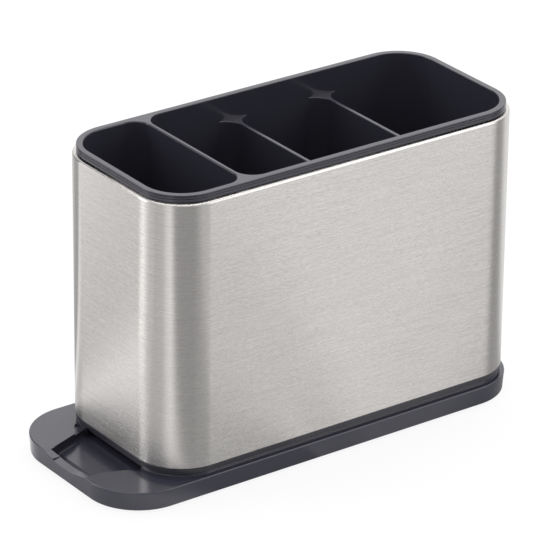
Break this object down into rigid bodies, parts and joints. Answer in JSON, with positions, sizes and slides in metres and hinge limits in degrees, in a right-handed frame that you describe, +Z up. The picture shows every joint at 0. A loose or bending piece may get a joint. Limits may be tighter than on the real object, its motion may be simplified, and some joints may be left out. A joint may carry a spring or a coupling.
{
  "type": "cutlery drainer",
  "caption": "Free-standing cutlery drainer: divided plastic caddy in an oval steel sleeve, lifting off a drip tray with a pouring spout.",
  "frame": {"origin": "on the table, under the middle of the drip tray's outline", "axes": "+Z up, +X along the long side from the spout to the far end, +Y across to the back"},
  "size_m": [0.245, 0.102, 0.1575],
  "materials": {
    "tray_plastic": "dark blue-grey injection-moulded plastic with a fine satin texture",
    "caddy_plastic": "dark blue-grey injection-moulded plastic, satin outside and smooth in the pockets",
    "frame_plastic": "dark injection-moulded plastic, hidden inside the sleeve's foot",
    "brushed_steel": "stainless steel sheet with a fine brushed grain along its length",
    "foot_rubber": "soft black rubber"
  },
  "bodies": {
    "tray": {"drip_tray": "tray_plastic", "foot_spout_front": "foot_rubber", "foot_spout_back": "foot_rubber", "foot_end_front": "foot_rubber", "foot_end_back": "foot_rubber"},
    "holder": {"base_frame": "frame_plastic", "steel_sleeve": "brushed_steel"},
    "caddy": {"cutlery_caddy": "caddy_plastic"}
  },
  "joints": [
    {"name": "holder_lift", "type": "slide", "parent": "tray", "child": "holder", "axis": [0, 0, 1], "range_m": [0, 0.06]},
    {"name": "caddy_lift", "type": "slide", "parent": "holder", "child": "caddy", "axis": [0, 0, 1], "range_m": [0, 0.15]}
  ]
}
